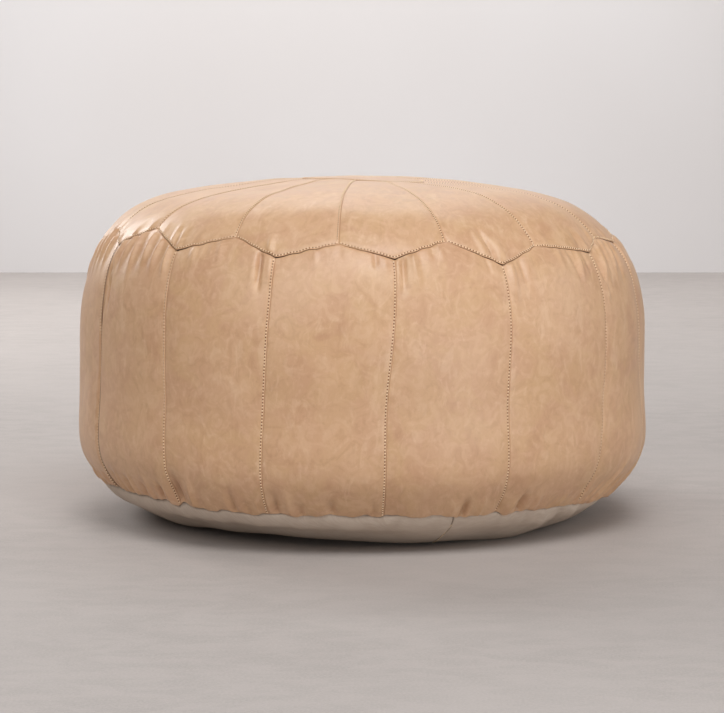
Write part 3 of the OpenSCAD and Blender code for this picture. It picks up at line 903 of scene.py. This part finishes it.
def finished(piece, material, slot, *nodes):
    """Gives a piece its material and its place on the pouf's body, and hides the CAD nodes it stands for."""
    piece.data.materials.append(material)
    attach(piece, "pouf")
    if nodes:
        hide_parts(*nodes)
    return piece


# ---- Leather pieces ----

for k in range(PANELS):
    for part, ring in RINGS.items():
        piece = grid_mesh(f"{part}_leather_{k + 1:02d}", LEATHER_T, *panel(ring, k))
        finished(piece, LEATHER, "leather", f"{part}_panel_{k + 1:02d}")
finished(grid_mesh("crown_medallion_leather", LEATHER_T, *medallion()), LEATHER, "leather", "crown_medallion")


# ---- Canvas base ----

def recess_z(x, y):
    """Height of the zip's recess at a place in the zip's own frame."""
    inside = np.minimum(RECESS_HALF_L - np.abs(x), RECESS_HALF_W - np.abs(y))
    return RECESS_H + np.minimum(inside, 0) * RECESS_RISE


def from_zip_frame(points):
    """Turns the zip's own frame, whose +X lies along the base seam, into the row frame."""
    ax = np.array([math.sin(BASE_TURN), -math.cos(BASE_TURN), 0])
    ay = np.array([math.cos(BASE_TURN), math.sin(BASE_TURN), 0])
    return points[..., :1] * ax + points[..., 1:2] * ay + points[..., 2:] * np.array([0, 0, 1])


base_swell, BASE_SWELL_H = field(51, 20, 0.09), 0.0005
canvas_folds = folds(
    (31, 50, 5, 2.2, 0.2), (36, 56, 5, -3.0, 0.3), (41, 60, 5.5, 3.6, 0.4), (46, 60, 5, -3.6, 0.5),
    (52, 60, 6, 3.4, 0.4), (25, 40, 5, -1.4), (8, 34, 3.6, -2.2, -0.4), (5.5, 34, 4, 1.4, -0.4),
    (-12, 30, 7, 0.9), (42, 100, 36, 2.4, 0, 10),
)
DENT_DEPTH, DENT_HEADING, DENT_SPREAD = 0.008, -0.45, 0.16

# Height of the canvas beside the hem, which it comes out from under.
FROM_HEM = profile((-6, -10.5), (-4, -9.5), (-2, -6.5), (0, -3.6), (1.5, -2.5), (4, -1.6), (9, -0.7),
                   (16, -0.2), (24, 0))
BASE_SEAM = profile((0, -1.3), (0.3, -0.6), (0.8, -0.25), (2, -0.1), (5, 0))


def base_folds(heading, radius, away):
    """Soft folds in the canvas below the hem, mostly at the front right, and a broad dent at the front."""
    dent = np.exp((np.cos(heading - DENT_HEADING) - 1) / DENT_SPREAD) * smooth(0.012, 0.045, away)
    return near(canvas_folds, heading, radius, away) - DENT_DEPTH * dent


def base_half(sign):
    """One half of the base: lines run from the hem across to the seam and the zip's slot."""
    end = np.array([0, 0.1, 0.3, 0.7, 1.4, 2.6, 4.4])
    t = np.concatenate([end, np.linspace(6.2, 173.8, 150), 180 - end[::-1]])
    turn = np.radians(t)[None, :]
    ends = np.clip(smooth(0, 9, t) * smooth(0, 9, 180 - t), 0, 1)[None, :]
    b = np.concatenate([np.linspace(0, 0.2, 26), np.linspace(0.22, 1, 46)])[:, None]
    hem_r = radius_at(hem_arc(BASE_TURN + sign * turn) - 0.004)
    x = hem_r * np.cos(turn) * (1 - b) + (RECESS_HALF_L - 0.001) * (1 - 2 * turn / np.pi) * b
    y = hem_r * np.sin(turn) * (1 - b) + SLOT_W * ends * b
    r = np.hypot(x, y)
    heading = BASE_TURN + sign * np.arctan2(y, x)
    low = slice(WIDEST, len(outline))
    arc = np.interp(r, OUT_R[low][::-1], ARC[low][::-1])
    from_hem = arc - hem_arc(heading)
    on_seam = np.where(np.abs(x) > RECESS_HALF_L - 0.004, y, 1)
    out = cover_height(heading, hem_arc(heading) - 0.001) * np.exp(-np.maximum(from_hem, 0) / 0.012)
    out += beside(FROM_HEM, from_hem) + base_folds(heading, hem_r, from_hem)
    out += BASE_SWELL_H * base_swell(on_cover(heading, arc)) * smooth(0.01, 0.04, from_hem)
    out = out * smooth(0.155, 0.185, r) + beside(BASE_SEAM, on_seam)
    lifted = r + out * np.interp(arc, ARC, OUT_NR)
    z = np.maximum(np.interp(arc, ARC, OUT_Z) + out * np.interp(arc, ARC, OUT_NZ), 0)
    x, y = x * lifted / r, sign * y * lifted / r
    z = np.maximum(z, recess_z(x, y))
    outer = from_zip_frame(np.stack([x, y, z], axis=-1))
    uv = np.stack([x + 3, y + 5], axis=-1)
    # Painted shade on the canvas in the base seam and where it comes out from under the hem.
    shade = np.maximum(0.5 * (1 - smooth(0, 0.0008, on_seam)), 1 - smooth(-0.001, 0.0008, from_hem))
    return outer, uv, shade


for sign, side in ((-1, "left"), (1, "right")):
    piece = grid_mesh(f"base_canvas_{side}", CANVAS_T, *base_half(sign))
    finished(piece, CANVAS, "canvas", f"base_half_{side}")


# ---- Stitches ----

def halfway(values):
    return (values[1:] + values[:-1]) / 2


def bead_shape(around, along, r, length, sink):
    """A closed bead along +X that curves down at both ends, as (points, faces)."""
    points = []
    for i in range(1, along):
        t = i / along
        size = r * math.sin(math.pi * t) ** 0.45
        for j in range(around):
            a = 2 * math.pi * j / around
            z = size * math.sin(a) - sink * (2 * t - 1) ** 2
            points.append(((t - 0.5) * length, size * math.cos(a), z))
    faces, tip = tube_faces(along - 1, around), len(points)
    points += [(-0.5 * length, 0, -sink), (0.5 * length, 0, -sink)]
    for j in range(around):
        after = (j + 1) % around
        faces += [(tip, j, after), (tip + 1, tip - around + after, tip - around + j)]
    return np.array(points), faces


BEAD_SWAY = 0.06  # spread of the angle at which stitches lie, in radians


def place_beads(name, shape, rows, seed, lift):
    """One mesh of beads. Each row is (points, outward directions), with a bead between two points."""
    bead, faces = shape
    rng = np.random.default_rng(seed)
    all_points, all_faces, count = [], [], 0
    for points, out in rows:
        middle = halfway(points)
        ahead = points[1:] - points[:-1]
        ahead /= np.linalg.norm(ahead, axis=1)[:, None] + TINY
        up = halfway(out)
        up -= np.sum(up * ahead, axis=1)[:, None] * ahead
        up /= np.linalg.norm(up, axis=1)[:, None]
        across = np.cross(up, ahead)
        turn = rng.normal(0, BEAD_SWAY, len(middle))[:, None]
        ahead, across = ahead + turn * across, across - turn * ahead
        middle = middle + lift * up
        placed = (middle[:, None, :] + bead[None, :, :1] * ahead[:, None, :]
                  + bead[None, :, 1:2] * across[:, None, :] + bead[None, :, 2:] * up[:, None, :])
        all_points.append(placed.reshape(-1, 3))
        for _ in middle:
            all_faces += [tuple(count + i for i in face) for face in faces]
            count += len(bead)
    return add_mesh(name, np.concatenate(all_points), all_faces)


STITCH = bead_shape(around=6, along=6, r=THREAD_R, length=STITCH_PITCH * 0.6, sink=0.0004)
NEEDLE_HOLE = bead_shape(around=6, along=4, r=0.0007, length=0.0013, sink=0.0001)


def even_row(points, out):
    """The same line with points a stitch apart."""
    arc = np.concatenate([[0], np.cumsum(np.linalg.norm(np.diff(points, axis=0), axis=1))])
    at = np.linspace(0, arc[-1], max(2, round(arc[-1] / STITCH_PITCH)) + 1)
    pick = lambda values: np.stack([np.interp(at, arc, values[:, i]) for i in range(3)], axis=1)
    return pick(points), pick(out)


def row_on(ring, k, column, row):
    """A stitch row on panel k, with the directions out of the cover."""
    points = leather(ring, k, column, row)[0]
    out = leather(ring, k, column, row, 0.01)[0] - points
    return even_row(points, out / np.linalg.norm(out, axis=1)[:, None])


fine_steps = np.linspace(0, 1, 260)
flat = np.zeros_like(fine_steps)
inset = flat - STITCH_INSET

side_rows = [row_on(SidePanels, k, (flat + 1, inset), (fine_steps, 0.002 * (1 - 2 * fine_steps)))
             for k in range(PANELS)]
crown_rows = [row_on(CrownPanels, k, (flat + 1, inset), (fine_steps, 0.002 - 0.005 * fine_steps))
              for k in range(PANELS)]
zigzag_rows = [row_on(CrownPanels, k, (fine_steps, 0.0005 * (1 - 2 * fine_steps)), (flat + 1, inset))
               for k in range(PANELS)]


def medallion_row():
    heading = np.linspace(-np.pi, np.pi, 721)
    arc = np.full_like(heading, ARC_MEDALLION - STITCH_INSET)
    lifted = medallion_height(heading, arc)[0]
    points = on_cover(heading, arc, lifted)
    return even_row(points, np.tile([0.0, 0.0, 1.0], (721, 1)))


medallion_rows = [medallion_row()]

for part, rows in (("side_seams", side_rows), ("crown_seams", crown_rows), ("zigzag_seam", zigzag_rows),
                   ("medallion", medallion_rows)):
    stitches = place_beads(f"stitches_{part}", STITCH, rows, 61, 0.0001)
    finished(stitches, THREAD, "thread", f"thread_{part}")

all_rows = side_rows + crown_rows + zigzag_rows + medallion_rows
# Beads of painted needle-hole shade, between the stitches.
hole_rows = [(halfway(points), halfway(out)) for points, out in all_rows]
finished(place_beads("hole_shade_beads", NEEDLE_HOLE, hole_rows, 62, 0.00005), HOLE_SHADE, "leather")


# ---- Zip and inner parts ----

BRASS = brass_material()
TAPE = cloth_material("zip_tape_weave", rgb(150, 132, 108), rgb(172, 154, 128), 0.0012)
BAG = cloth_material("bag_cloth", rgb(208, 202, 190), rgb(224, 219, 208), 0.0014)
FILL = cloth_material("filling_cloth", rgb(216, 210, 196), rgb(232, 228, 216), 0.003)

for material, nodes in ((BRASS, ("zip_teeth_left", "zip_teeth_right", "zip_top_stops", "zip_bottom_stop",
                                 "zip_slider", "zip_puller")),
                        (TAPE, ("zip_tape_left", "zip_tape_right")),
                        (THREAD, ("thread_base_seam", "thread_zip"))):
    for node in nodes:
        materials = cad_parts[node].data.materials
        materials.clear()
        materials.append(material)


# The stuffed bag lies close under the cover and keeps clear of its deepest furrows.
BAG_GAP = 0.0125
BAG_T = 0.0008
BAG_LIFT, ZIP_END_R = 0.0125, 0.17
BAG_TOP_ARC = float(crown_arc(0.8 * RADIUS))
BAG_LOW_ARC = float(np.interp(-0.1 * HEIGHT, -OUT_Z[:-1], ARC[:-1]))


def bag_place(heading, arc, gap):
    """A place under the cover, lifted clear of the zip's recess."""
    place = on_cover(heading, arc, -gap + SWELL_H * swell(on_cover(heading, arc)))
    over_zip = 1 - smooth(ZIP_END_R, ZIP_END_R + 0.04, radius_at(arc))
    place[..., 2] = np.maximum(place[..., 2], gap + BAG_LIFT * over_zip)
    return place


def bag_piece(part, start, end, rows):
    """A ring of the bag between two distances along the outline."""
    heading, arc = full_turn(np.linspace(start, end, rows), 129)
    uv = np.stack([heading * 0.2, arc], axis=-1)
    outer = bag_place(heading, arc, BAG_GAP)
    piece = grid_mesh(f"stuffed_bag_{part}", BAG_T, outer, uv, np.zeros_like(arc))
    finished(piece, BAG, "bag_cloth", f"inner_bag_{part}")


bag_piece("top", 0.0002, BAG_TOP_ARC, 24)
bag_piece("side", BAG_TOP_ARC + 0.0004, BAG_LOW_ARC, 40)
bag_piece("bottom", BAG_LOW_ARC + 0.0004, float(ARC[-1]) - 0.0002, 24)


def filling():
    """The filling, a closed form just inside the bag."""
    rows, around = 70, 96
    heading, arc = np.meshgrid(np.arange(around) * 2 * np.pi / around,
                               np.linspace(0.012, float(ARC[-1]) - 0.012, rows))
    faces = tube_faces(rows, around)
    faces += [range(around), range(rows * around - 1, (rows - 1) * around - 1, -1)]
    points = bag_place(heading, arc, BAG_GAP + BAG_T + 0.001).reshape(-1, 3).tolist()
    return add_mesh("cotton_filling", points, faces)


finished(filling(), FILL, "filling", "filling")


# ---- Room, lights and camera ----

def plane(name, corners, material):
    found = add_mesh(name, corners, [range(len(corners))], False)
    found.data.materials.append(material)


def floor_material():
    m = Nodes("floor")
    place = m.coords("Object")
    cloud = m.noise(place, 2.2, 5, 0.6, 0.3)
    patch = m.noise(m.coords("Object", (1, 1.8, 1)), 18, 6, 0.7, 0.4)
    grain = m.noise(place, 420, 4, 0.75)
    colour = m.mix(m.remap(cloud, 0.3, 0.7), rgb(167, 160, 156), rgb(176, 169, 165))
    colour = m.mix(m.remap(patch, 0.38, 0.62, 0, 0.6), colour, rgb(182, 174, 170))
    colour = m.mix(m.remap(grain, 0.35, 0.65, 0, 0.5), colour, rgb(190, 183, 179))
    m.set(Base_Color=colour, Roughness=0.75, Specular_IOR_Level=0.25)
    return m.material


def wall_material():
    m = Nodes("wall")
    cloud = m.noise(m.coords("Object"), 0.8, 2, 0.5)
    m.set(Base_Color=m.mix(m.remap(cloud, 0.3, 0.7), rgb(226, 222, 221), rgb(232, 229, 229)),
          Roughness=0.9, Specular_IOR_Level=0.1)
    return m.material


WALL_Y = 3.74
plane("floor", [(-9, -9, 0), (9, -9, 0), (9, WALL_Y, 0), (-9, WALL_Y, 0)], floor_material())
plane("wall", [(-9, WALL_Y, 0), (9, WALL_Y, 0), (9, WALL_Y, 5), (-9, WALL_Y, 5)], wall_material())


def area_light(name, place, target, size, power):
    data = bpy.data.lights.new(name, "AREA")
    data.shape = "RECTANGLE"
    data.size, data.size_y = size
    data.energy = power
    found = add_object(name, data)
    found.location = place
    found.rotation_mode = "QUATERNION"
    found.rotation_quaternion = (Vector(target) - Vector(place)).to_track_quat("-Z", "Y")


MIDDLE = (0, 0, 0.15)
area_light("window_back_left", (-2.25, 2.05, 1.7), (0, 0, 0.25), (1.2, 1.4), 45)
area_light("overhead_front", (0.3, -1.9, 2.8), MIDDLE, (1.8, 1.4), 56)
area_light("front_left", (-1.9, -2.6, 2.2), MIDDLE, (1.8, 1.8), 31)
area_light("front_right", (1.9, -2.6, 2.2), MIDDLE, (1.8, 1.8), 7)
area_light("low_right", (1.7, -2.6, 0.34), (0, 0, 0.05), (1.4, 0.5), 15)
area_light("right", (3.0, -0.3, 1.3), MIDDLE, (1.6, 1.6), 16)
area_light("wall_wash", (-0.2, 2.4, 3.2), (-0.1, WALL_Y, 1.1), (2.4, 1.0), 83)

world = bpy.data.worlds.new("world")
bpy.context.scene.world = world
world.use_nodes = True
sky = world.node_tree.nodes["Background"].inputs
sky["Color"].default_value = (1, 1, 1, 1)
sky["Strength"].default_value = 0.1

CAMERA_PLACE = Vector((-0.0012, -8 * RADIUS, 0.42))
CAMERA_DIP = math.atan(0.106)
camera = bpy.data.cameras.new("camera")
camera.lens = 111.9
camera.sensor_width = 36
camera_object = add_object("camera", camera)
camera_object.location = CAMERA_PLACE
camera_object.rotation_euler = (math.pi / 2 - CAMERA_DIP, 0, 0)
bpy.context.scene.camera = camera_object
bpy.context.scene.view_settings.view_transform = "Standard"
